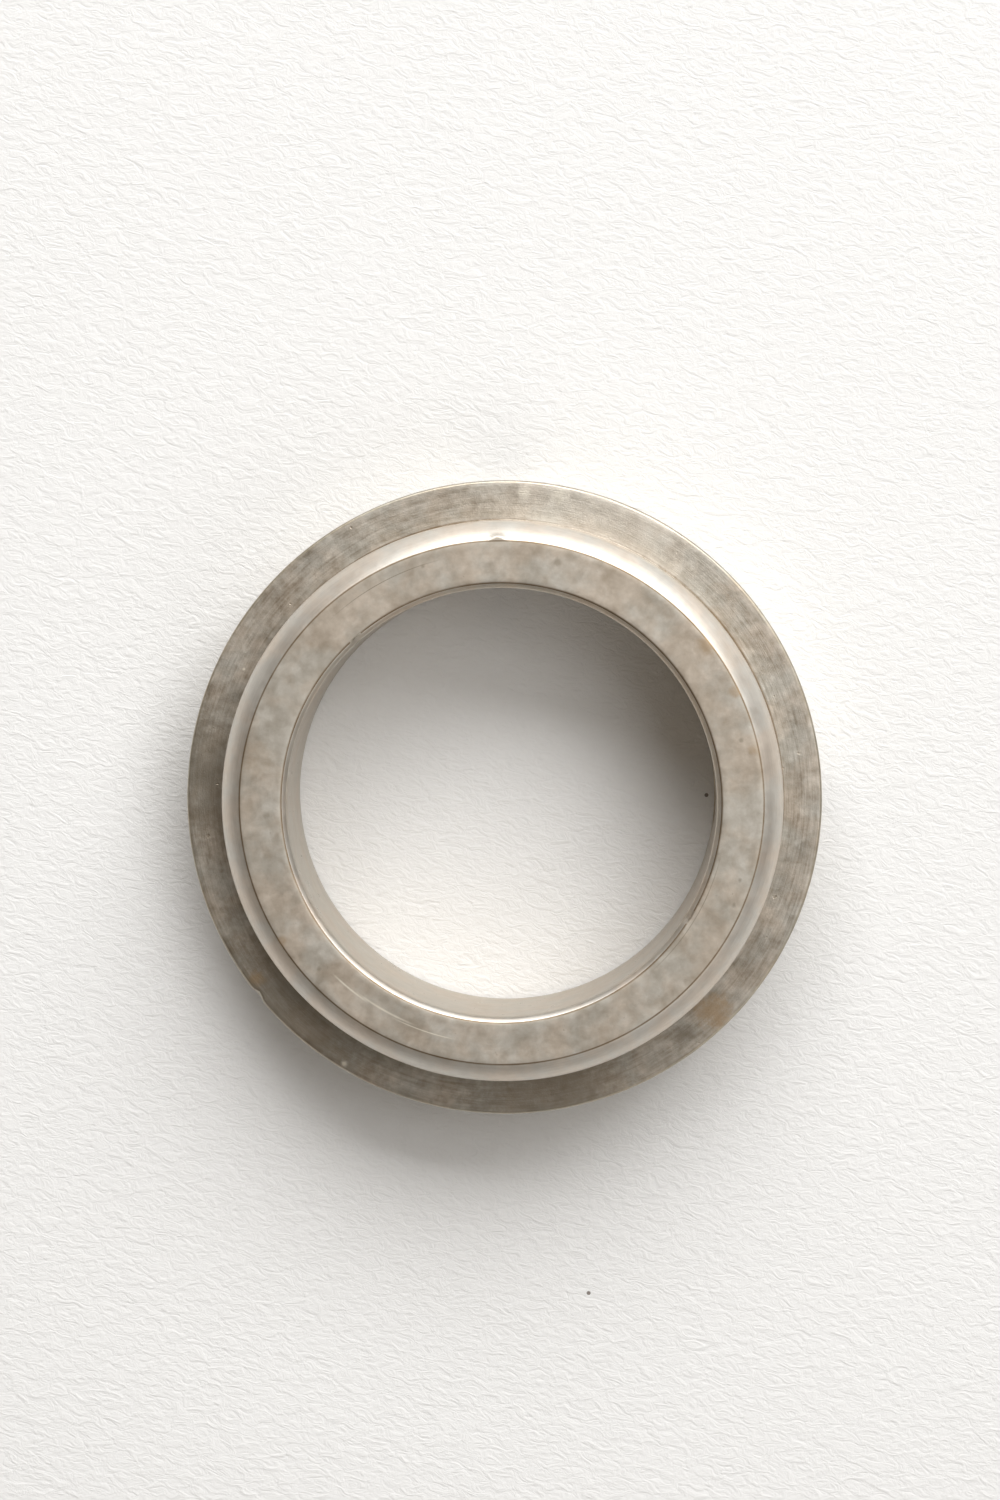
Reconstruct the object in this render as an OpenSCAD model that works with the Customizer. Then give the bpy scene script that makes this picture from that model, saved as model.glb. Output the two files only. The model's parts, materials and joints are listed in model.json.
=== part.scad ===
// Shaft collar: a turned steel ring with a broad flange and a short tapered hub,
// held on its shaft by two socket set screws in the rim of the flange.
// Origin: centre of the flange's back face, on the bore axis. +Z runs from the flange to the hub.
// The set screws lie on +X and +Y. All sizes are in millimetres.

/* [Bore] */
// Diameter of the bore that the shaft goes through
bore_d = 25.4; // [12:0.1:60]
// Width of the 45 degree chamfer at each end of the bore
bore_chamfer = 0.3; // [0.1:0.05:0.6]

/* [Hub] */
// Wall of the hub, from the bore out to its straight stretch
hub_wall = 3.97; // [3:0.01:8]
// Height of the hub above the flange
hub_height = 3.97; // [3:0.01:8]
// Height of the tapered lead-in at the hub's nose
taper_height = 1.19; // [0.5:0.01:2.4]
// How far the lead-in comes in towards the bore
taper_depth = 1.19; // [0.3:0.01:1.6]
// Radius of the fillet where the hub meets the flange
root_radius = 0.3; // [0.1:0.05:0.5]

/* [Flange] */
// Reach of the flange beyond the hub
flange_reach = 2.38; // [1.9:0.01:8]
// Thickness of the flange
flange_thickness = 5.56; // [4.6:0.01:10]
// Width of the broken edge on both corners of the rim
rim_break = 0.2; // [0.05:0.05:0.4]

/* [Set screws] */
// Outer diameter of the set screw's thread
screw_d = 3.505; // [2.5:0.005:4.2]
// Length of the set screw
screw_length = 4.76; // [3:0.01:5.8]
// Depth of the screw's outer end below the rim when it is backed off
screw_recess = 0.25; // [0:0.05:0.5]
// Radial running clearance between the screw and its hole
thread_clearance = 0.05; // [0.02:0.01:0.1]
// Width across the flats of the hexagon socket
socket_flats = 1.59; // [1.2:0.01:1.9]
// Depth of the hexagon socket
socket_depth = 1.9; // [1:0.1:2.4]
// Diameter of the cup point's biting rim
cup_d = 1.75; // [1:0.05:2.2]
// Depth of the hollow in the cup point
cup_depth = 0.45; // [0.2:0.05:0.7]
// Width of the chamfer at the screw's outer end and at the mouth of its socket
screw_chamfer = 0.3; // [0.1:0.05:0.4]
// Width of the countersink at the mouth of each tapped hole
hole_countersink = 0.3; // [0.1:0.05:0.4]

/* [Hidden] */
$fn = 96;

RIGHT = 0;
BACK = 90;
bore_r = bore_d / 2;
hub_r = bore_r + hub_wall;
nose_r = hub_r - taper_depth;
flange_r = hub_r + flange_reach;
total_height = flange_thickness + hub_height;
taper_start = total_height - taper_height;
screw_r = screw_d / 2;
hole_r = screw_r + thread_clearance;
screw_z = flange_thickness / 2;
screw_outer_end = flange_r - screw_recess;
// How far a cutting body runs past the face that it opens
overrun = 1;

steel = [0.66, 0.63, 0.58];
black_oxide = [0.16, 0.16, 0.17];

// Half section of the ring, right of the axis
module ring_section() {
    polygon([
        [bore_r + bore_chamfer, 0],
        [flange_r - rim_break, 0],
        [flange_r, rim_break],
        [flange_r, flange_thickness - rim_break],
        [flange_r - rim_break, flange_thickness],
        [hub_r, flange_thickness],
        [hub_r, taper_start],
        [nose_r, total_height],
        [bore_r + bore_chamfer, total_height],
        [bore_r, total_height - bore_chamfer],
        [bore_r, bore_chamfer],
    ]);
    root_fillet_section();
}

// What the tool's nose radius leaves in the corner between hub and flange
module root_fillet_section() {
    translate([hub_r, flange_thickness])
        difference() {
            square(root_radius);
            translate([root_radius, root_radius]) circle(r = root_radius);
        }
}

// Places its children so that their +Z points from the rim to the bore axis
module on_screw_axis(angle, from_r) {
    rotate([0, 0, angle])
        translate([from_r, 0, screw_z])
            rotate([0, -90, 0])
                children();
}

// Tapped hole through the flange, from the rim into the bore
module screw_hole(angle) {
    on_screw_axis(angle, flange_r + overrun)
        cylinder(h = flange_r - bore_r + 2 * overrun, r = hole_r);
    on_screw_axis(angle, flange_r)
        cylinder(h = hole_countersink, r1 = hole_r + hole_countersink, r2 = hole_r);
}

module collar_ring() {
    color(steel)
        difference() {
            rotate_extrude() ring_section();
            screw_hole(RIGHT);
            screw_hole(BACK);
        }
}

// Half section of the screw's blank: chamfered outer end, straight body, coned cup point
module screw_section() {
    polygon([
        [0, 0],
        [screw_r - screw_chamfer, 0],
        [screw_r, screw_chamfer],
        [screw_r, screw_length - (screw_r - cup_d / 2)],
        [cup_d / 2, screw_length],
        [0, screw_length - cup_depth],
    ]);
}

// Hexagon socket with a coned mouth, open at z = 0
module hex_socket() {
    corner_r = socket_flats / 2 / cos(30);
    mouth_depth = screw_chamfer / 2;
    translate([0, 0, -overrun])
        cylinder(h = socket_depth + overrun, r = corner_r, $fn = 6);
    cylinder(h = mouth_depth, r1 = corner_r + mouth_depth / 2, r2 = corner_r - mouth_depth / 2);
}

module set_screw(angle) {
    color(black_oxide)
        on_screw_axis(angle, screw_outer_end)
            difference() {
                rotate_extrude() screw_section();
                hex_socket();
            }
}

module set_screw_right() {
    set_screw(RIGHT);
}

module set_screw_back() {
    set_screw(BACK);
}

collar_ring();
set_screw_right();
set_screw_back();
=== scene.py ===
import json
import math

import bmesh
import bpy
from mathutils import Matrix, Vector


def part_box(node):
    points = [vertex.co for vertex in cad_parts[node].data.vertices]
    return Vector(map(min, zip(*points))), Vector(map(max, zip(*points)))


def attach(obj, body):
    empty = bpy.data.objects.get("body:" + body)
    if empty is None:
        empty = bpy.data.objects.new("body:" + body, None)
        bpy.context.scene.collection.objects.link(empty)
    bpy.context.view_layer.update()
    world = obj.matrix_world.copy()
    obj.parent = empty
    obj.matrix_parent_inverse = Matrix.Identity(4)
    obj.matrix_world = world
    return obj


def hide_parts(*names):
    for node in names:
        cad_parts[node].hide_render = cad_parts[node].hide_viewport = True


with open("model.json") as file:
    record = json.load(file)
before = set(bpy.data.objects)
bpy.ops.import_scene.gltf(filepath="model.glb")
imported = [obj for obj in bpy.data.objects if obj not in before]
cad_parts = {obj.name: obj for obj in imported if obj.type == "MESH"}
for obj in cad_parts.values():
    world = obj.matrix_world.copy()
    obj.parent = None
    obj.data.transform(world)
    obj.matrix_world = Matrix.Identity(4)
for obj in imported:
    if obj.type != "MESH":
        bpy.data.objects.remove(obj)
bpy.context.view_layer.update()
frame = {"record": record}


# ---------------------------------------------------------------- Table, light and camera
# The collar lies flange down on a sheet of pale, lightly grained paper.
# A wide, low soft box stands beyond its far side, with two weak ones; a pale room fills the shadows.

MM = 0.001
paper_size = 1.3
paper_white = (0.86, 0.86, 0.85, 1)
paper_shade = (0.83, 0.83, 0.825, 1)
paper_fibre_scale = 1900
paper_tooth = 0.0002
paper_slant = math.radians(-14)
fibre_stretch = (1.9, 1, 1)
speck_scale = 130
speck_reach = 0.016
speck_rarity = 0.86
paper_speck = (0.25, 0.22, 0.2, 1)

bpy.ops.object.select_all(action="DESELECT")
bpy.ops.mesh.primitive_plane_add(size=paper_size, location=(0, 0, 0))
paper = bpy.context.object
paper.name = "paper"

paper_look = bpy.data.materials.new("pale_paper")
paper_look.use_nodes = True
nodes, links = paper_look.node_tree.nodes, paper_look.node_tree.links
shader = nodes["Principled BSDF"]
shader.inputs["Roughness"].default_value = 0.9
shader.inputs["Specular IOR Level"].default_value = 0.2
place = nodes.new("ShaderNodeTexCoord")
slant = nodes.new("ShaderNodeMapping")
slant.vector_type = "TEXTURE"
slant.inputs["Rotation"].default_value = (0, 0, paper_slant)
slant.inputs["Scale"].default_value = fibre_stretch
fibre = nodes.new("ShaderNodeTexNoise")
fibre.inputs["Scale"].default_value = paper_fibre_scale
fibre.inputs["Detail"].default_value = 5
fibre.inputs["Roughness"].default_value = 0.6
fibre.inputs["Distortion"].default_value = 1.2
tint = nodes.new("ShaderNodeMix")
tint.data_type = "RGBA"
tint.inputs["A"].default_value = paper_shade
tint.inputs["B"].default_value = paper_white
cells = nodes.new("ShaderNodeTexVoronoi")
cells.voronoi_dimensions = "2D"
cells.inputs["Scale"].default_value = speck_scale
near = nodes.new("ShaderNodeMath")
near.operation = "LESS_THAN"
near.inputs[1].default_value = speck_reach
chosen = nodes.new("ShaderNodeMath")
chosen.operation = "GREATER_THAN"
chosen.inputs[1].default_value = speck_rarity
speck = nodes.new("ShaderNodeMath")
speck.operation = "MULTIPLY"
specked = nodes.new("ShaderNodeMix")
specked.data_type = "RGBA"
specked.inputs["B"].default_value = paper_speck
bump = nodes.new("ShaderNodeBump")
bump.inputs["Distance"].default_value = paper_tooth
bump.inputs["Strength"].default_value = 0.5
links.new(place.outputs["Object"], slant.inputs["Vector"])
links.new(place.outputs["Object"], cells.inputs["Vector"])
links.new(slant.outputs["Vector"], fibre.inputs["Vector"])
links.new(fibre.outputs["Fac"], tint.inputs["Factor"])
links.new(cells.outputs["Distance"], near.inputs[0])
links.new(cells.outputs["Color"], chosen.inputs[0])
links.new(near.outputs[0], speck.inputs[0])
links.new(chosen.outputs[0], speck.inputs[1])
links.new(speck.outputs[0], specked.inputs["Factor"])
links.new(tint.outputs["Result"], specked.inputs["A"])
links.new(specked.outputs["Result"], shader.inputs["Base Color"])
links.new(fibre.outputs["Fac"], bump.inputs["Height"])
links.new(bump.outputs["Normal"], shader.inputs["Normal"])
paper.data.materials.append(paper_look)

# The room fills the shadows with a warm glow, and the camera sees it as a pale wall
room_glow = (1.0, 0.89, 0.77, 1)
room_strength = 0.195
room_wall = (0.88, 0.875, 0.865, 1)
room = bpy.data.worlds.new("pale_room")
room.use_nodes = True
nodes, links = room.node_tree.nodes, room.node_tree.links
glow = nodes["Background"]
glow.inputs["Color"].default_value = room_glow
glow.inputs["Strength"].default_value = room_strength
backdrop = nodes.new("ShaderNodeBackground")
backdrop.inputs["Color"].default_value = room_wall
seen = nodes.new("ShaderNodeLightPath")
either = nodes.new("ShaderNodeMixShader")
links.new(seen.outputs["Is Camera Ray"], either.inputs[0])
links.new(glow.outputs[0], either.inputs[1])
links.new(backdrop.outputs[0], either.inputs[2])
links.new(either.outputs[0], nodes["World Output"].inputs["Surface"])
bpy.context.scene.world = room
bpy.context.scene.view_settings.view_transform = "Standard"


def soft_box(name, azimuth, elevation, width, height, power, distance=0.8):
    """A rectangular area light that looks at the origin."""
    data = bpy.data.lights.new(name, "AREA")
    data.shape = "RECTANGLE"
    data.size = width
    data.size_y = height
    data.energy = power
    lamp = bpy.data.objects.new(name, data)
    bpy.context.scene.collection.objects.link(lamp)
    turn, rise = math.radians(azimuth), math.radians(elevation)
    lamp.location = distance * Vector(
        (math.cos(turn) * math.cos(rise), math.sin(turn) * math.cos(rise), math.sin(rise)))
    lamp.rotation_euler = (-lamp.location).to_track_quat("-Z", "Y").to_euler()
    lamp.visible_camera = False


soft_box("window", azimuth=76, elevation=38, width=1.0, height=0.45, power=9.05)
soft_box("high_window", azimuth=30, elevation=62, width=0.5, height=0.4, power=1.2)
soft_box("side_window", azimuth=308, elevation=42, width=0.45, height=0.35, power=0.8)

camera_place = (8.95 * MM, 17.59 * MM, 240.4 * MM)
camera_tilt = (-0.0623, 0.0390, 0)
camera_lens = 94.35
camera_nearest = 0.01
camera = bpy.data.objects.new("camera", bpy.data.cameras.new("camera"))
camera.data.lens = camera_lens
camera.data.clip_start = camera_nearest
camera.location = camera_place
camera.rotation_euler = camera_tilt
bpy.context.scene.collection.objects.link(camera)
bpy.context.scene.camera = camera


# ---------------------------------------------------------------- Collar ring
# The ring is turned from one steel bar: a broad flange, a short hub with a tapered nose,
# and a bored hole. Its half section is drawn here in millimetres and spun round the axis.
# Two tapped holes are then drilled through the flange for the set screws.

mounts = {m["name"]: m for m in frame["record"]["mounts"]}
ring_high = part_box("collar_ring")[1]
flange_r = ring_high.x / MM
ring_height = ring_high.z / MM
bore_r = mounts["shaft_bore"]["dims"]["r_mm"]
hub_r = mounts["hub_spigot"]["dims"]["r_mm"]
hub_straight = mounts["hub_spigot"]["dims"]["length_mm"]
hub_middle = mounts["hub_spigot"]["pos_m"][2] / MM
shoulder_z = mounts["flange_shoulder"]["pos_m"][2] / MM
taper_z = hub_middle + hub_straight / 2
root_radius = 0.05
taper_depth = 1.19
bore_chamfer = 0.3
rim_break = 0.1
nose_r = hub_r - taper_depth
taper_crown = 0.12
hub_corner = 0.2
nose_corner = 0.07
bore_corner = 0.13
worn_corner = 0.04
back_bore_corner = 0.05
ring_steps = 384
tiny = 0.001


def select_by_place(test, mode="VERT"):
    """In edit mode, selects the vertices, or the edges by their middle, that pass the test."""
    bpy.ops.mesh.select_mode(type=mode)
    bpy.ops.mesh.select_all(action="DESELECT")
    shape = bmesh.from_edit_mesh(bpy.context.object.data)
    if mode == "VERT":
        for v in shape.verts:
            v.select_set(test(v.co))
    else:
        for e in shape.edges:
            e.select_set(test((e.verts[0].co + e.verts[1].co) / 2))
    shape.select_flush_mode()
    bmesh.update_edit_mesh(bpy.context.object.data)


def at(x, z):
    """A test for the vertex of the half section at that radius and height."""
    return lambda p: abs(p.x - x) < tiny and abs(p.z - z) < tiny


bpy.ops.object.select_all(action="DESELECT")
bpy.ops.mesh.primitive_plane_add(
    size=1, location=((bore_r + flange_r) / 2, 0, shoulder_z / 2), rotation=(math.pi / 2, 0, 0))
ring = bpy.context.object
ring.name = "turned_ring"
ring.scale = (flange_r - bore_r, shoulder_z, 1)
bpy.ops.object.transform_apply(location=True, rotation=True, scale=True)

# Flange section, then the hub drawn up from its inner part in two steps
bpy.ops.object.mode_set(mode="EDIT")
bpy.ops.mesh.select_all(action="SELECT")
bpy.ops.mesh.bisect(plane_co=(hub_r, 0, 0), plane_no=(1, 0, 0))
select_by_place(lambda p: p.x < hub_r and p.z > shoulder_z - tiny, "EDGE")
bpy.ops.mesh.extrude_region_move(TRANSFORM_OT_translate={"value": (0, 0, taper_z - shoulder_z)})
bpy.ops.mesh.extrude_region_move(TRANSFORM_OT_translate={"value": (0, 0, ring_height - taper_z)})
select_by_place(at(hub_r, ring_height))
bpy.ops.transform.translate(value=(-taper_depth, 0, 0))
wall_middle = (bore_r + hub_r) / 2
inner_lines = [(hub_r, shoulder_z / 2), (wall_middle, shoulder_z), (wall_middle, taper_z)]
select_by_place(lambda p: any(abs(p.x - x) < tiny and abs(p.z - z) < tiny for x, z in inner_lines), "EDGE")
bpy.ops.mesh.dissolve_edges(angle_threshold=math.radians(1))

# Chamfers first, then the small radius that handling leaves on each corner
for x, z, width in [
    (bore_r, 0, bore_chamfer), (bore_r, ring_height, bore_chamfer),
    (flange_r, 0, rim_break), (flange_r, shoulder_z, rim_break),
]:
    select_by_place(at(x, z))
    bpy.ops.mesh.bevel(offset=width, segments=1, affect="VERTICES")
for x, z, radius, steps in [
    (hub_r, shoulder_z, root_radius, 4), (hub_r, taper_z, hub_corner, 4),
    (nose_r, ring_height, nose_corner, 3),
    (bore_r, ring_height - bore_chamfer, bore_corner, 3),
    (bore_r + bore_chamfer, ring_height, bore_corner, 3),
    (bore_r, bore_chamfer, worn_corner, 2), (bore_r + bore_chamfer, 0, back_bore_corner, 2),
    (flange_r - rim_break, shoulder_z, worn_corner, 2), (flange_r, shoulder_z - rim_break, worn_corner, 2),
    (flange_r - rim_break, 0, worn_corner, 2), (flange_r, rim_break, worn_corner, 2),
]:
    select_by_place(at(x, z))
    bpy.ops.mesh.bevel(offset=radius, segments=steps, affect="VERTICES")
bpy.ops.object.mode_set(mode="OBJECT")

# The section's outline alone is kept, its long sides are divided for later dents, and it is spun
bpy.ops.object.mode_set(mode="EDIT")
bpy.ops.mesh.select_all(action="SELECT")
bpy.ops.mesh.delete(type="ONLY_FACE")
for side, cuts in [
    (lambda p: p.z > ring_height - tiny and p.x > bore_r + 2 * bore_chamfer, 9),
    (lambda p: taper_z + 0.2 < p.z < ring_height - 0.15 and p.x > nose_r, 11),
    (lambda p: abs(p.z - shoulder_z) < tiny and p.x > hub_r + root_radius, 7),
    (lambda p: abs(p.x - flange_r) < tiny, 8),
    (lambda p: abs(p.x - bore_r) < tiny, 12),
    (lambda p: p.z < tiny and bore_r + 1 < p.x < flange_r - 1, 9),
    (lambda p: abs(p.x - hub_r) < tiny and p.z > shoulder_z + root_radius, 3),
]:
    select_by_place(side, "EDGE")
    bpy.ops.mesh.subdivide(number_cuts=cuts)
bpy.ops.mesh.select_mode(type="VERT")
bpy.ops.mesh.select_all(action="SELECT")
section = bmesh.from_edit_mesh(ring.data)
taper_length = math.hypot(taper_depth, ring_height - taper_z)
for v in section.verts:
    share = (v.co.z - taper_z) / (ring_height - taper_z)
    if 0 < share < 1 and v.co.x > nose_r:
        bulge = 4 * taper_crown * share * (1 - share)
        v.co += Vector((ring_height - taper_z, 0, taper_depth)) / taper_length * bulge
bmesh.update_edit_mesh(ring.data)
bpy.ops.mesh.spin(steps=ring_steps, angle=2 * math.pi, center=(0, 0, 0), axis=(0, 0, 1))
bpy.ops.mesh.select_all(action="SELECT")
bpy.ops.mesh.remove_doubles(threshold=tiny / 10)
bpy.ops.mesh.normals_make_consistent(inside=False)
bpy.ops.object.mode_set(mode="OBJECT")

# Tapped holes: a threaded cutter and a countersink, each made along +X and turned to its place
screw_low, screw_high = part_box("set_screw_right")
screw_z = (screw_low.z + screw_high.z) / 2 / MM
screw_r = (screw_high.y - screw_low.y) / 2 / MM
thread_clearance = 0.05
thread_pitch = 0.794
hole_r = screw_r + thread_clearance
hole_groove = 0.16
hole_countersink = 0.3
thread_steps = 12


def thread_share(along, turn):
    """How far up the flank of the thread a point is: 0 at the root, 1 at the crest."""
    phase = (along / thread_pitch - turn / (2 * math.pi)) % 1
    return min(1, max(0, 1.6 * abs(2 * phase - 1) - 0.4))


def threaded_rod(name, start, end, radius_at):
    """A closed rod along +X at the screws' height, whose side follows radius_at(x, turn)."""
    bpy.ops.mesh.primitive_cylinder_add(
        vertices=48, radius=1, depth=end - start, location=((start + end) / 2, 0, screw_z),
        rotation=(0, math.pi / 2, 0))
    rod = bpy.context.object
    rod.name = name
    bpy.ops.object.transform_apply(location=True, rotation=True, scale=True)
    bpy.ops.object.mode_set(mode="EDIT")
    select_by_place(lambda p: abs(p.x - (start + end) / 2) < tiny, "EDGE")
    bpy.ops.mesh.subdivide(number_cuts=round((end - start) / thread_pitch * thread_steps))
    bpy.ops.object.mode_set(mode="OBJECT")
    for v in rod.data.vertices:
        turn = math.atan2(v.co.z - screw_z, v.co.y)
        radius = radius_at(v.co.x, turn)
        v.co.y = radius * math.cos(turn)
        v.co.z = screw_z + radius * math.sin(turn)
    return rod


def round_tool(sides, start, end, start_radius, end_radius, turn=0):
    """A closed cone or prism along +X at the screws' height, to cut with."""
    bpy.ops.object.select_all(action="DESELECT")
    bpy.ops.mesh.primitive_cone_add(
        vertices=sides, radius1=start_radius, radius2=end_radius, depth=end - start)
    tool = bpy.context.object
    tool.data.transform(Matrix.Rotation(turn, 4, "Z"))
    tool.data.transform(Matrix.Rotation(math.pi / 2, 4, "Y"))
    tool.data.transform(Matrix.Translation(((start + end) / 2, 0, screw_z)))
    return tool


def cut_away(piece, cutter):
    """Takes the cutter's volume out of the piece and removes the cutter."""
    boolean = piece.modifiers.new("cut", "BOOLEAN")
    boolean.operation = "DIFFERENCE"
    boolean.solver = "EXACT"
    boolean.object = cutter
    bpy.ops.object.select_all(action="DESELECT")
    bpy.context.view_layer.objects.active = piece
    piece.select_set(True)
    bpy.ops.object.modifier_apply(modifier=boolean.name)
    bpy.data.objects.remove(cutter)


for quarter_turn in (0, math.pi / 2):
    bpy.ops.object.select_all(action="DESELECT")
    tap = threaded_rod(
        "tap", bore_r - 1, flange_r + 1,
        lambda x, turn: hole_r + hole_groove * thread_share(x, turn))
    countersink = round_tool(
        64, flange_r - hole_countersink, flange_r + hole_countersink,
        hole_r, hole_r + 2 * hole_countersink)
    for cutter in (tap, countersink):
        cutter.data.transform(Matrix.Rotation(quarter_turn, 4, "Z"))
        cut_away(ring, cutter)

bpy.ops.object.mode_set(mode="EDIT")
bpy.ops.mesh.select_all(action="SELECT")
bpy.ops.mesh.remove_doubles(threshold=tiny / 2)
bpy.ops.mesh.normals_make_consistent(inside=False)
bpy.ops.object.mode_set(mode="OBJECT")


def press(piece, place, reach, push):
    """Moves the surface within reach of a place, most at its middle, as a knock or a burr does."""
    for v in piece.data.vertices:
        near = 1 - (v.co - Vector(place)).length / reach
        if near > 0:
            v.co += Vector(push) * near * near * (3 - 2 * near)


# A burr on the nose's outer corner, a nick in the rim and two knocks on the bore's edge
press(ring, place=(-0.18, nose_r - 0.05, ring_height - 0.05), reach=0.65, push=(0, 0.24, -0.01))
press(ring, place=(-14.87, -11.9, shoulder_z - 0.1), reach=0.5, push=(0.16, 0.13, -0.03))
press(ring, place=(-8.42, 9.55, ring_height - 0.1), reach=0.45, push=(-0.1, 0.1, -0.07))
press(ring, place=(10.9, -6.6, ring_height - 0.1), reach=0.5, push=(0.1, -0.06, -0.06))

ring.data.transform(Matrix.Scale(MM, 4))
bpy.ops.object.shade_smooth_by_angle(angle=math.radians(28))


def add_node(tree, kind, values=None, **settings):
    """A new node with its settings, and its unlinked inputs filled in by name or number."""
    node = tree.nodes.new(kind)
    for name, setting in settings.items():
        setattr(node, name, setting)
    for socket, value in (values or {}).items():
        node.inputs[socket].default_value = value
    return node


def new_group(name, inputs, outputs):
    """A shader node group with named sockets: each input is (name, kind, start value)."""
    group = bpy.data.node_groups.new(name, "ShaderNodeTree")
    for label, kind, value in inputs:
        socket = group.interface.new_socket(label, in_out="INPUT", socket_type=kind)
        socket.default_value = value
    for label, kind in outputs:
        group.interface.new_socket(label, in_out="OUTPUT", socket_type=kind)
    return group, group.nodes.new("NodeGroupInput"), group.nodes.new("NodeGroupOutput")


def link(tree, start, end):
    tree.links.new(start, end)


# Polar place on a turned piece: the radius, and a direction that has no seam
polar, _, polar_out = new_group("polar_place", [], [
    ("Radius", "NodeSocketFloat"), ("Height", "NodeSocketFloat"), ("Direction", "NodeSocketVector")])
where = add_node(polar, "ShaderNodeTexCoord")
split = add_node(polar, "ShaderNodeSeparateXYZ")
flat = add_node(polar, "ShaderNodeCombineXYZ")
length = add_node(polar, "ShaderNodeVectorMath", operation="LENGTH")
unit = add_node(polar, "ShaderNodeVectorMath", operation="NORMALIZE")
link(polar, where.outputs["Object"], split.inputs[0])
link(polar, split.outputs["X"], flat.inputs["X"])
link(polar, split.outputs["Y"], flat.inputs["Y"])
link(polar, flat.outputs[0], length.inputs[0])
link(polar, flat.outputs[0], unit.inputs[0])
link(polar, length.outputs["Value"], polar_out.inputs["Radius"])
link(polar, split.outputs["Z"], polar_out.inputs["Height"])
link(polar, unit.outputs["Vector"], polar_out.inputs["Direction"])

# Streaks that run round the piece, as the tool left them
streak, streak_in, streak_out = new_group("tool_streaks", [
    ("Spacing mm", "NodeSocketFloat", 0.15), ("Count round", "NodeSocketFloat", 3.0),
    ("Seed", "NodeSocketFloat", 0.0),
], [("Streak", "NodeSocketFloat")])
place = add_node(streak, "ShaderNodeGroup", node_tree=polar)
pitch = add_node(streak, "ShaderNodeMath", {0: 1 / MM}, operation="DIVIDE")
across = add_node(streak, "ShaderNodeMath", operation="MULTIPLY")
along = add_node(streak, "ShaderNodeMath", operation="MULTIPLY")
around = add_node(streak, "ShaderNodeVectorMath", operation="SCALE")
shift = add_node(streak, "ShaderNodeVectorMath", operation="ADD")
lift = add_node(streak, "ShaderNodeCombineXYZ")
grain = add_node(
    streak, "ShaderNodeTexNoise", {"Scale": 1, "Detail": 3, "Roughness": 0.55}, noise_dimensions="4D")
offset = add_node(streak, "ShaderNodeMath", operation="ADD")
link(streak, streak_in.outputs["Spacing mm"], pitch.inputs[1])
link(streak, place.outputs["Radius"], across.inputs[0])
link(streak, pitch.outputs[0], across.inputs[1])
link(streak, place.outputs["Height"], along.inputs[0])
link(streak, pitch.outputs[0], along.inputs[1])
link(streak, place.outputs["Direction"], around.inputs[0])
link(streak, streak_in.outputs["Count round"], around.inputs["Scale"])
link(streak, across.outputs[0], lift.inputs["Z"])
link(streak, around.outputs[0], shift.inputs[0])
link(streak, lift.outputs[0], shift.inputs[1])
link(streak, along.outputs[0], offset.inputs[0])
link(streak, streak_in.outputs["Seed"], offset.inputs[1])
link(streak, shift.outputs[0], grain.inputs["Vector"])
link(streak, offset.outputs[0], grain.inputs["W"])
link(streak, grain.outputs["Fac"], streak_out.inputs["Streak"])

# A broken line round the piece at one radius: a mark along an edge, or painted shade in a corner
edge, edge_in, edge_out = new_group("corner_line", [
    ("Radius mm", "NodeSocketFloat", 15.0), ("Width mm", "NodeSocketFloat", 0.1),
    ("Gaps", "NodeSocketFloat", 0.5),
], [("Line", "NodeSocketFloat")])
place = add_node(edge, "ShaderNodeGroup", node_tree=polar)
in_mm = add_node(edge, "ShaderNodeMath", {1: 1 / MM}, operation="MULTIPLY")
away = add_node(edge, "ShaderNodeMath", operation="SUBTRACT")
far = add_node(edge, "ShaderNodeMath", operation="ABSOLUTE")
fade = add_node(
    edge, "ShaderNodeMapRange", {"From Min": 0, "To Min": 1, "To Max": 0},
    interpolation_type="SMOOTHSTEP")
where = add_node(edge, "ShaderNodeTexCoord")
breaks = add_node(edge, "ShaderNodeTexNoise", {"Scale": 700, "Detail": 3})
holds = add_node(edge, "ShaderNodeMapRange", {"From Min": 0.3, "From Max": 0.65, "To Max": 1})
keep = add_node(edge, "ShaderNodeMath", {0: 1}, operation="SUBTRACT")
both = add_node(edge, "ShaderNodeMath", operation="MULTIPLY")
link(edge, place.outputs["Radius"], in_mm.inputs[0])
link(edge, in_mm.outputs[0], away.inputs[0])
link(edge, edge_in.outputs["Radius mm"], away.inputs[1])
link(edge, away.outputs[0], far.inputs[0])
link(edge, far.outputs[0], fade.inputs["Value"])
link(edge, edge_in.outputs["Width mm"], fade.inputs["From Max"])
link(edge, where.outputs["Object"], breaks.inputs["Vector"])
link(edge, edge_in.outputs["Gaps"], keep.inputs[1])
link(edge, keep.outputs[0], holds.inputs["To Min"])
link(edge, breaks.outputs["Fac"], holds.inputs["Value"])
link(edge, fade.outputs["Result"], both.inputs[0])
link(edge, holds.outputs["Result"], both.inputs[1])
link(edge, both.outputs[0], edge_out.inputs["Line"])

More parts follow.
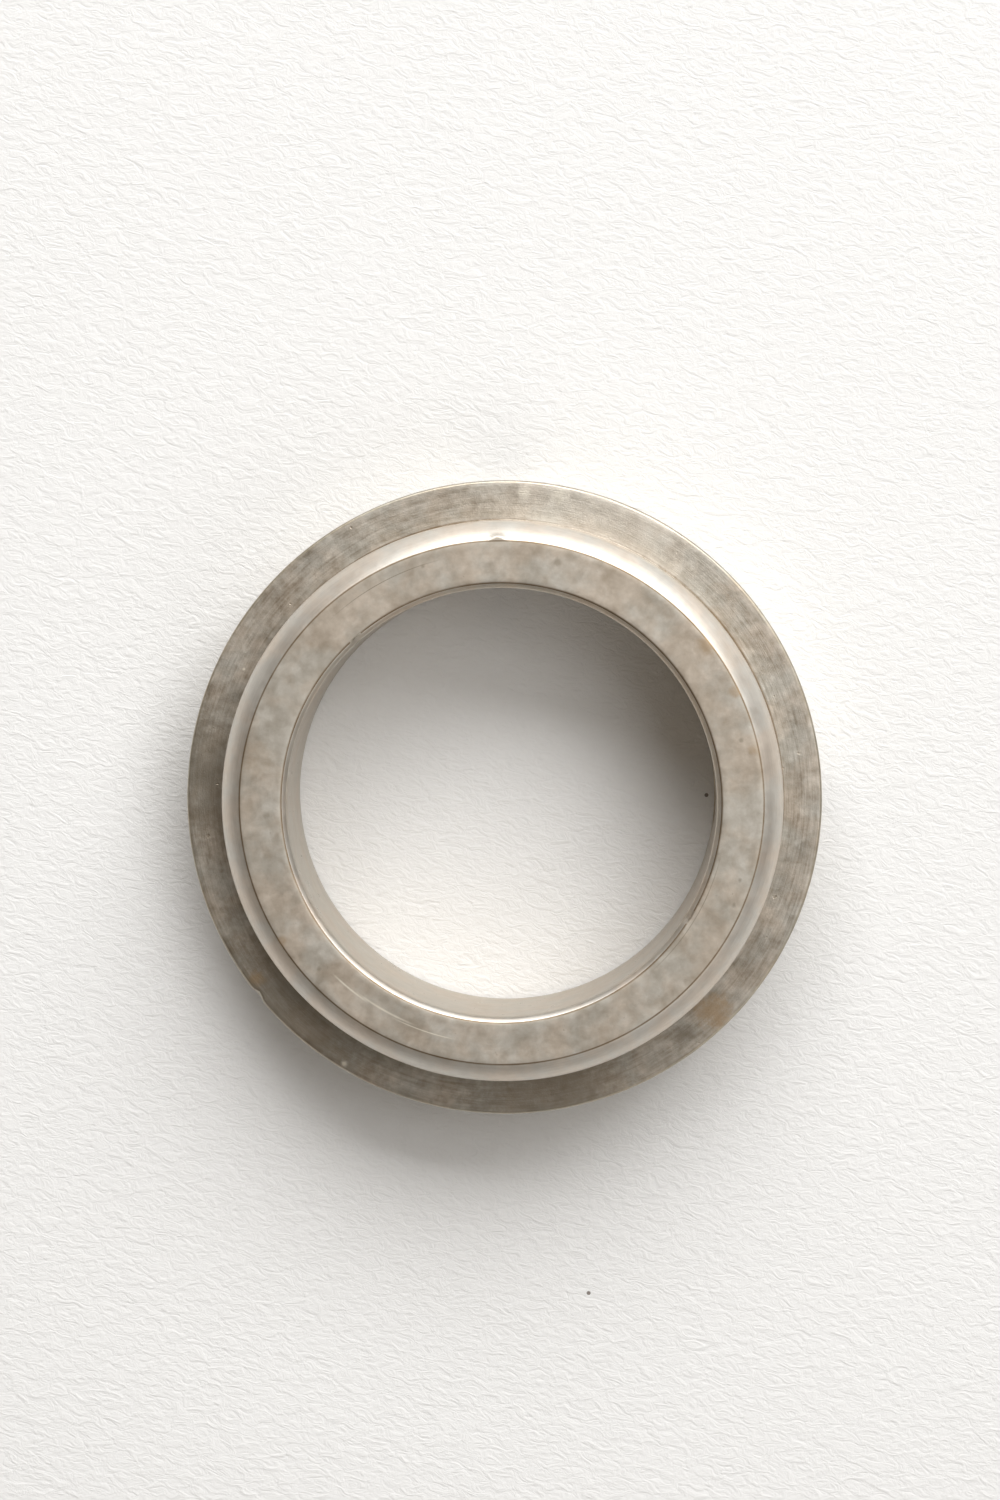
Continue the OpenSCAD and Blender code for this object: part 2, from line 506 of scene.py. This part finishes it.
# A fine scratch that follows one radius for part of a turn
arc, arc_in, arc_out = new_group("scratch_arc", [
    ("Radius mm", "NodeSocketFloat", 14.0), ("Width mm", "NodeSocketFloat", 0.05),
    ("Middle", "NodeSocketVector", (1, 0, 0)), ("Reach", "NodeSocketFloat", 0.98),
], [("Line", "NodeSocketFloat")])
place = add_node(arc, "ShaderNodeGroup", node_tree=polar)
line = add_node(arc, "ShaderNodeGroup", {"Gaps": 0.35}, node_tree=edge)
ahead = add_node(arc, "ShaderNodeVectorMath", operation="DOT_PRODUCT")
ends = add_node(arc, "ShaderNodeMapRange", {"From Max": 1}, interpolation_type="SMOOTHSTEP")
both = add_node(arc, "ShaderNodeMath", operation="MULTIPLY")
link(arc, arc_in.outputs["Radius mm"], line.inputs["Radius mm"])
link(arc, arc_in.outputs["Width mm"], line.inputs["Width mm"])
link(arc, place.outputs["Direction"], ahead.inputs[0])
link(arc, arc_in.outputs["Middle"], ahead.inputs[1])
link(arc, ahead.outputs["Value"], ends.inputs["Value"])
link(arc, arc_in.outputs["Reach"], ends.inputs["From Min"])
link(arc, line.outputs["Line"], both.inputs[0])
link(arc, ends.outputs["Result"], both.inputs[1])
link(arc, both.outputs[0], arc_out.inputs["Line"])

# A soft, uneven spot round one place, for a stain, a smudge or a pit, and also for a painted highlight or
# painted shade
spot, spot_in, spot_out = new_group("uneven_spot", [
    ("Place", "NodeSocketVector", (0, 0, 0)), ("Radius", "NodeSocketFloat", 0.001),
    ("Strength", "NodeSocketFloat", 1.0),
], [("Spot", "NodeSocketFloat")])
where = add_node(spot, "ShaderNodeTexCoord")
ragged = add_node(spot, "ShaderNodeTexNoise", {"Scale": 1900, "Detail": 5, "Roughness": 0.7})
away = add_node(spot, "ShaderNodeVectorMath", operation="DISTANCE")
sizes = add_node(spot, "ShaderNodeMath", operation="DIVIDE")
ragged_share = add_node(spot, "ShaderNodeMath", {1: 1.6}, operation="MULTIPLY")
summed = add_node(spot, "ShaderNodeMath", operation="ADD")
soft = add_node(
    spot, "ShaderNodeMapRange", {"From Min": 1.0, "From Max": 1.9, "To Min": 1, "To Max": 0},
    interpolation_type="SMOOTHSTEP")
link(spot, where.outputs["Object"], away.inputs[0])
link(spot, where.outputs["Object"], ragged.inputs["Vector"])
link(spot, spot_in.outputs["Place"], away.inputs[1])
link(spot, away.outputs["Value"], sizes.inputs[0])
link(spot, spot_in.outputs["Radius"], sizes.inputs[1])
link(spot, ragged.outputs["Fac"], ragged_share.inputs[0])
link(spot, sizes.outputs[0], summed.inputs[0])
link(spot, ragged_share.outputs[0], summed.inputs[1])
link(spot, summed.outputs[0], soft.inputs["Value"])
link(spot, spot_in.outputs["Strength"], soft.inputs["To Min"])
link(spot, soft.outputs["Result"], spot_out.inputs["Spot"])

# Handled steel: clouds of slight tarnish, tool streaks, fine grain and small dark pits
skin, skin_in, skin_out = new_group("handled_steel", [
    ("Light", "NodeSocketColor", (0.6, 0.57, 0.5, 1)), ("Dark", "NodeSocketColor", (0.45, 0.42, 0.36, 1)),
    ("Stain", "NodeSocketColor", (0.3, 0.22, 0.13, 1)), ("Clouds", "NodeSocketFloat", 0.5),
    ("Streaks", "NodeSocketFloat", 0.3), ("Pits", "NodeSocketFloat", 0.5),
    ("Streak spacing mm", "NodeSocketFloat", 0.15),
    ("Smooth", "NodeSocketFloat", 0.4), ("Rough", "NodeSocketFloat", 0.6),
], [("Color", "NodeSocketColor"), ("Roughness", "NodeSocketFloat"), ("Height", "NodeSocketFloat")])
where = add_node(skin, "ShaderNodeTexCoord")
clouds = add_node(
    skin, "ShaderNodeTexNoise", {"Scale": 800, "Detail": 7, "Roughness": 0.68, "Distortion": 0.2})
hue = add_node(skin, "ShaderNodeTexNoise", {"Scale": 380, "Detail": 4, "Roughness": 0.6})
grain = add_node(skin, "ShaderNodeTexNoise", {"Scale": 9000, "Detail": 2, "Roughness": 0.6})
specks = add_node(skin, "ShaderNodeTexNoise", {"Scale": 2000, "Detail": 3, "Roughness": 0.5})
coarse = add_node(skin, "ShaderNodeGroup", {"Count round": 9}, node_tree=streak)
fine = add_node(
    skin, "ShaderNodeGroup", {"Spacing mm": 0.045, "Count round": 14, "Seed": 5}, node_tree=streak)
cloud_part = add_node(
    skin, "ShaderNodeMapRange", {"From Min": 0.32, "From Max": 0.68, "To Min": -0.5, "To Max": 0.5})
cloud_amount = add_node(skin, "ShaderNodeMath", operation="MULTIPLY")
streak_part = add_node(
    skin, "ShaderNodeMapRange", {"From Min": 0.3, "From Max": 0.7, "To Min": -0.5, "To Max": 0.5})
streak_amount = add_node(skin, "ShaderNodeMath", operation="MULTIPLY")
total = add_node(skin, "ShaderNodeMath", operation="ADD")
mottle = add_node(
    skin, "ShaderNodeMapRange", {"From Min": 0.35, "From Max": 0.65, "To Min": 0.37, "To Max": 0.63})
level = add_node(skin, "ShaderNodeMath", operation="ADD", use_clamp=True)
tone = add_node(skin, "ShaderNodeMix", data_type="RGBA")
warm = add_node(
    skin, "ShaderNodeMix", {"A": (1.035, 0.985, 0.935, 1), "B": (0.985, 1.0, 1.0, 1)}, data_type="RGBA")
warm_part = add_node(skin, "ShaderNodeMapRange", {"From Min": 0.4, "From Max": 0.6})
tinted = add_node(skin, "ShaderNodeMix", {"Factor": 1}, data_type="RGBA", blend_type="MULTIPLY")
pit_part = add_node(
    skin, "ShaderNodeMapRange", {"From Min": 0.70, "From Max": 0.78}, interpolation_type="SMOOTHSTEP")
pit_amount = add_node(skin, "ShaderNodeMath", operation="MULTIPLY")
stained = add_node(skin, "ShaderNodeMix", data_type="RGBA")
gloss = add_node(skin, "ShaderNodeMapRange", {"From Min": 0.3, "From Max": 0.7})
fine_share = add_node(skin, "ShaderNodeMath", {1: 0.6}, operation="MULTIPLY")
relief = add_node(skin, "ShaderNodeMath", operation="MULTIPLY")
rough_grain = add_node(skin, "ShaderNodeMath", {1: 0.25}, operation="MULTIPLY")
surface = add_node(skin, "ShaderNodeMath", operation="ADD")
sunk = add_node(skin, "ShaderNodeMath", operation="SUBTRACT")
for texture in (clouds, hue, grain, specks):
    link(skin, where.outputs["Object"], texture.inputs["Vector"])
link(skin, skin_in.outputs["Streak spacing mm"], coarse.inputs["Spacing mm"])
link(skin, clouds.outputs["Fac"], cloud_part.inputs["Value"])
link(skin, cloud_part.outputs["Result"], cloud_amount.inputs[0])
link(skin, skin_in.outputs["Clouds"], cloud_amount.inputs[1])
link(skin, coarse.outputs["Streak"], streak_part.inputs["Value"])
link(skin, streak_part.outputs["Result"], streak_amount.inputs[0])
link(skin, skin_in.outputs["Streaks"], streak_amount.inputs[1])
link(skin, cloud_amount.outputs[0], total.inputs[0])
link(skin, streak_amount.outputs[0], total.inputs[1])
link(skin, total.outputs[0], level.inputs[0])
link(skin, specks.outputs["Fac"], mottle.inputs["Value"])
link(skin, mottle.outputs["Result"], level.inputs[1])
link(skin, level.outputs[0], tone.inputs["Factor"])
link(skin, skin_in.outputs["Dark"], tone.inputs["A"])
link(skin, skin_in.outputs["Light"], tone.inputs["B"])
link(skin, hue.outputs["Fac"], warm_part.inputs["Value"])
link(skin, warm_part.outputs["Result"], warm.inputs["Factor"])
link(skin, tone.outputs["Result"], tinted.inputs["A"])
link(skin, warm.outputs["Result"], tinted.inputs["B"])
link(skin, specks.outputs["Fac"], pit_part.inputs["Value"])
link(skin, pit_part.outputs["Result"], pit_amount.inputs[0])
link(skin, skin_in.outputs["Pits"], pit_amount.inputs[1])
link(skin, pit_amount.outputs[0], stained.inputs["Factor"])
link(skin, tinted.outputs["Result"], stained.inputs["A"])
link(skin, skin_in.outputs["Stain"], stained.inputs["B"])
link(skin, stained.outputs["Result"], skin_out.inputs["Color"])
link(skin, clouds.outputs["Fac"], gloss.inputs["Value"])
link(skin, skin_in.outputs["Smooth"], gloss.inputs["To Min"])
link(skin, skin_in.outputs["Rough"], gloss.inputs["To Max"])
link(skin, gloss.outputs["Result"], skin_out.inputs["Roughness"])
link(skin, fine.outputs["Streak"], fine_share.inputs[0])
link(skin, fine_share.outputs[0], relief.inputs[0])
link(skin, skin_in.outputs["Streaks"], relief.inputs[1])
link(skin, grain.outputs["Fac"], rough_grain.inputs[0])
link(skin, relief.outputs[0], surface.inputs[0])
link(skin, rough_grain.outputs[0], surface.inputs[1])
link(skin, surface.outputs[0], sunk.inputs[0])
link(skin, pit_amount.outputs[0], sunk.inputs[1])
link(skin, sunk.outputs[0], skin_out.inputs["Height"])


def steel_finish(
        name, light, dark, clouds, streaks, spacing, pits, smooth, rough, relief,
        lines=(), arcs=(), spots=(), metallic=1):
    """One finish of the ring: handled steel with its own corner lines, scratches and spots."""
    look = bpy.data.materials.new(name)
    look.use_nodes = True
    tree = look.node_tree
    metal = tree.nodes["Principled BSDF"]
    metal.inputs["Metallic"].default_value = metallic
    base = add_node(tree, "ShaderNodeGroup", {
        "Light": light, "Dark": dark, "Clouds": clouds, "Streaks": streaks, "Pits": pits,
        "Streak spacing mm": spacing, "Smooth": smooth, "Rough": rough}, node_tree=skin)
    marks = []
    for radius, width, colour, gaps in lines:
        mark = add_node(
            tree, "ShaderNodeGroup", {"Radius mm": radius, "Width mm": width, "Gaps": gaps},
            node_tree=edge)
        marks.append((mark.outputs["Line"], colour))
    for radius, width, colour, middle, reach in arcs:
        turn = math.radians(middle)
        mark = add_node(tree, "ShaderNodeGroup", {
            "Radius mm": radius, "Width mm": width, "Middle": (math.cos(turn), math.sin(turn), 0),
            "Reach": math.cos(math.radians(reach))}, node_tree=arc)
        marks.append((mark.outputs["Line"], colour))
    for x, y, z, radius, colour, strength in spots:
        mark = add_node(tree, "ShaderNodeGroup", {
            "Place": (x * MM, y * MM, z * MM), "Radius": radius * MM, "Strength": strength}, node_tree=spot)
        marks.append((mark.outputs["Spot"], colour))
    colour_so_far = base.outputs["Color"]
    for mask, colour in marks:
        drawn = add_node(tree, "ShaderNodeMix", {"B": colour}, data_type="RGBA")
        link(tree, mask, drawn.inputs["Factor"])
        link(tree, colour_so_far, drawn.inputs["A"])
        colour_so_far = drawn.outputs["Result"]
    bumps = add_node(tree, "ShaderNodeBump", {"Strength": 1, "Distance": relief * MM})
    link(tree, base.outputs["Height"], bumps.inputs["Height"])
    link(tree, colour_so_far, metal.inputs["Base Color"])
    link(tree, base.outputs["Roughness"], metal.inputs["Roughness"])
    link(tree, bumps.outputs["Normal"], metal.inputs["Normal"])
    return look


# A dark brown for lines along the nose's edges, and for painted shade in the hub's root corner
brown_edge = (0.20, 0.14, 0.08, 1)
bright_edge = (0.90, 0.85, 0.74, 1)
rim_edge = (0.60, 0.47, 0.20, 1)
smudge = (0.33, 0.285, 0.22, 1)
rust = (0.46, 0.33, 0.20, 1)
# A pale colour laid on the flange's side towards the window as a painted highlight
painted_highlight = (0.84, 0.79, 0.71, 1)
# A dark colour: a real stain in one small spot, and painted shade in the broad spots where the hub's shadow
# falls on the flange
tarnish_and_painted_shade = (0.25, 0.215, 0.165, 1)

# Marks from handling, and on the flange some painted light and shade. A line is radius, width, colour and
# gaps;
# an arc is radius, width, colour, middle and reach in degrees; a spot is x, y, z, radius, colour and
# strength, in millimetres.
nose_finish = steel_finish(
    "nose_face_steel", (0.67, 0.63, 0.57, 1), (0.47, 0.42, 0.35, 1), clouds=0.75, streaks=0.10, spacing=0.2,
    pits=0.5, smooth=0.48, rough=0.60, relief=0.006,
    lines=[(nose_r, 0.08, brown_edge, 0.2), (bore_r + bore_chamfer, 0.12, brown_edge, 0.25)],
    arcs=[(14.2, 0.09, bright_edge, 231, 6), (14.1, 0.10, bright_edge, 241, 9),
          (14.25, 0.06, bright_edge, 251, 9), (14.8, 0.04, smudge, 118, 16), (13.3, 0.04, smudge, 330, 20)],
    spots=[(-4.59, 14.0, ring_height, 0.16, smudge, 0.6), (3.29, 14.24, ring_height, 0.3, smudge, 0.5),
           (-12.27, 7.28, ring_height, 0.5, smudge, 0.35), (-10.78, -9.84, ring_height, 0.18, smudge, 0.6),
           (-6.8, -13.9, ring_height, 0.2, smudge, 0.7), (13.73, -5.94, ring_height, 0.2, smudge, 0.6),
           (14.11, 3.8, ring_height, 0.2, smudge, 0.6), (14.08, -4.46, ring_height, 0.16, smudge, 0.6),
           (12.09, 9.38, ring_height, 0.8, rust, 0.6), (13.8, 6.6, ring_height, 0.5, rust, 0.5),
           (14.9, 3.2, ring_height, 0.4, rust, 0.5), (-13.0, -8.2, ring_height, 0.4, rust, 0.5),
           (4.0, 14.6, ring_height, 0.5, smudge, 0.35), (-13.9, -0.7, ring_height, 0.25, smudge, 0.5),
           (8.6, 12.2, ring_height, 0.6, smudge, 0.3), (-14.2, 2.6, ring_height, 1.2, rust, 0.25)])
taper_finish = steel_finish(
    "taper_steel", (0.75, 0.71, 0.655, 1), (0.62, 0.58, 0.525, 1), clouds=0.3, streaks=0.5, spacing=0.10,
    pits=0.1, smooth=0.43, rough=0.55, relief=0.008,
    spots=[(-0.18, 15.0, ring_height - 0.15, 0.35, bright_edge, 0.8)])
flange_finish = steel_finish(
    "flange_face_steel", (0.63, 0.595, 0.54, 1), (0.33, 0.29, 0.235, 1), clouds=0.6, streaks=0.5,
    spacing=0.13, pits=0.35, smooth=0.44, rough=0.60, relief=0.04,
    # The dark line just outside the hub is painted shade in the root corner; the line at the rim is the
    # edge's own colour
    lines=[(hub_r + 0.05, 0.14, brown_edge, 0.3), (flange_r - rim_break / 2, 0.10, rim_edge, 0.8)],
    # The broad pale spot towards the window is a painted highlight; the three broad dark spots on the far
    # side are painted shade where the hub's shadow falls, and the small dark one is a stain
    spots=[(5.5, 17.2, shoulder_z, 9, painted_highlight, 0.45), (-12.5, -12.7, shoulder_z, 9, tarnish_and_painted_shade, 0.6),
           (2.5, -17.9, shoulder_z, 7, tarnish_and_painted_shade, 0.6), (-17.9, 1.0, shoulder_z, 6, tarnish_and_painted_shade, 0.6),
           (12.6, -12.7, shoulder_z, 1.4, rust, 0.7), (10.8, -14.2, shoulder_z, 0.9, tarnish_and_painted_shade, 0.6),
           (-9.63, -16.06, shoulder_z, 0.25, bright_edge, 0.7),
           (-15.58, 7.76, shoulder_z, 0.1, bright_edge, 0.7),
           (3.37, 18.17, shoulder_z, 0.7, bright_edge, 0.5), (1.2, 18.3, shoulder_z, 0.5, bright_edge, 0.5),
           (-14.9, -10.9, shoulder_z, 0.6, rust, 0.6)])
side_finish = steel_finish(
    "side_steel", (0.60, 0.56, 0.485, 1), (0.40, 0.36, 0.295, 1), clouds=0.5, streaks=0.6, spacing=0.10,
    pits=0.35, smooth=0.34, rough=0.50, relief=0.015)
bore_finish = steel_finish(
    "bored_steel", (0.48, 0.425, 0.35, 1), (0.36, 0.315, 0.25, 1), clouds=0.3, streaks=0.35, spacing=0.12,
    pits=0.15, smooth=0.26, rough=0.38, relief=0.006, metallic=0.6)

SIDE, NOSE, TAPER, FLANGE, BORE = range(5)
for finish in (side_finish, nose_finish, taper_finish, flange_finish, bore_finish):
    ring.data.materials.append(finish)
for face in ring.data.polygons:
    middle = face.center / MM
    out = math.hypot(middle.x, middle.y)
    facing_up = face.normal.z > 0.9
    facing_down = face.normal.z < -0.9
    in_root = bore_r + 1 < out < hub_r + root_radius and middle.z < shoulder_z + root_radius
    if facing_up and middle.z > ring_height - 0.06:
        face.material_index = NOSE
    elif middle.z > taper_z - 0.8 and out > nose_r - 0.2:
        face.material_index = TAPER
    elif facing_up or facing_down or in_root:
        face.material_index = FLANGE
    elif out < bore_r + bore_chamfer:
        on_chamfer = middle.z > ring_height - bore_chamfer - 0.08
        face.material_index = TAPER if on_chamfer else BORE
    else:
        face.material_index = SIDE

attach(ring, "collar")
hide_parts("collar_ring")


# ---------------------------------------------------------------- Set screws
# Two short set screws of blackened steel, with a hex socket outside and a cup point inside.
# Each is screwed into its tapped hole through the flange, and bites on the shaft.

screw_start = screw_low.x / MM
screw_end = screw_high.x / MM
thread_depth = 0.48
screw_chamfer = 0.3
socket_flats = 1.59
socket_depth = 1.9
socket_mouth = 0.25
cup_r = 1.75 / 2
cup_depth = 0.45
cup_tip_r = 0.02
beyond = 0.1
socket_corner_r = socket_flats / 2 / math.cos(math.pi / 6)


def screw_radius(x, turn):
    """The threaded side of a set screw, chamfered at both ends."""
    to_end = min(x - screw_start, screw_end - x)
    envelope = screw_r - max(0, screw_chamfer - to_end)
    return min(envelope, screw_r - thread_depth * (1 - thread_share(x, turn)))


oxide = bpy.data.materials.new("black_oxide")
oxide.use_nodes = True
tree = oxide.node_tree
metal = tree.nodes["Principled BSDF"]
metal.inputs["Metallic"].default_value = 1
base = add_node(tree, "ShaderNodeGroup", {
    "Light": (0.085, 0.082, 0.084, 1), "Dark": (0.045, 0.043, 0.045, 1), "Stain": (0.16, 0.09, 0.05, 1),
    "Clouds": 0.7, "Streaks": 0.0, "Pits": 0.4, "Smooth": 0.28, "Rough": 0.46}, node_tree=skin)
rubbed = add_node(tree, "ShaderNodeAttribute", attribute_name="rubbed")
where = add_node(tree, "ShaderNodeTexCoord")
patches = add_node(tree, "ShaderNodeTexNoise", {"Scale": 2600, "Detail": 4, "Roughness": 0.6})
worn = add_node(tree, "ShaderNodeMapRange", {"From Min": 0.42, "From Max": 0.56})
share = add_node(tree, "ShaderNodeMath", operation="MULTIPLY")
bare = add_node(tree, "ShaderNodeMix", {"B": (0.46, 0.43, 0.39, 1)}, data_type="RGBA")
bumps = add_node(tree, "ShaderNodeBump", {"Strength": 1, "Distance": 0.005 * MM})
link(tree, where.outputs["Object"], patches.inputs["Vector"])
link(tree, patches.outputs["Fac"], worn.inputs["Value"])
link(tree, worn.outputs["Result"], share.inputs[0])
link(tree, rubbed.outputs["Fac"], share.inputs[1])
link(tree, share.outputs[0], bare.inputs["Factor"])
link(tree, base.outputs["Color"], bare.inputs["A"])
link(tree, bare.outputs["Result"], metal.inputs["Base Color"])
link(tree, base.outputs["Roughness"], metal.inputs["Roughness"])
link(tree, base.outputs["Height"], bumps.inputs["Height"])
link(tree, bumps.outputs["Normal"], metal.inputs["Normal"])

for name, node, body, quarter_turn, socket_turn in [
    ("right_grub_screw", "set_screw_right", "right_screw", 0, math.radians(11)),
    ("back_grub_screw", "set_screw_back", "back_screw", math.pi / 2, math.radians(38)),
]:
    bpy.ops.object.select_all(action="DESELECT")
    screw = threaded_rod(name, screw_start, screw_end, screw_radius)
    cut_away(screw, round_tool(
        6, screw_end - socket_depth, screw_end + beyond,
        socket_corner_r, socket_corner_r, socket_turn))
    cut_away(screw, round_tool(
        48, screw_end - socket_mouth, screw_end + beyond,
        socket_flats / 2, socket_flats / 2 + socket_mouth + beyond))
    cut_away(screw, round_tool(
        48, screw_start - beyond, screw_start + cup_depth, cup_r * (1 + beyond / cup_depth), cup_tip_r))
    bpy.ops.object.mode_set(mode="EDIT")
    bpy.ops.mesh.select_all(action="SELECT")
    bpy.ops.mesh.remove_doubles(threshold=tiny)
    bpy.ops.mesh.normals_make_consistent(inside=False)
    bpy.ops.object.mode_set(mode="OBJECT")

    # Bare steel shows on thread crests, round the socket's mouth and on the cup's rim
    bare_share = screw.data.attributes.new("rubbed", "FLOAT", "POINT")
    for v in screw.data.vertices:
        out = math.hypot(v.co.y, v.co.z - screw_z)
        crest = (out / screw_r - 0.93) / 0.07
        mouth = 0
        rim = 0
        if v.co.x > screw_end - 0.1:
            mouth = 1 - abs(out - socket_flats / 2 - socket_mouth) / 0.15
        if v.co.x < screw_start + 0.1:
            rim = 1 - abs(out - cup_r) / 0.2
        bare_share.data[v.index].value = min(1, max(0, crest, mouth, rim))
    screw.data.transform(Matrix.Rotation(quarter_turn, 4, "Z"))
    screw.data.transform(Matrix.Scale(MM, 4))
    bpy.ops.object.shade_smooth_by_angle(angle=math.radians(28))
    screw.data.materials.append(oxide)
    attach(screw, body)
    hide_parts(node)
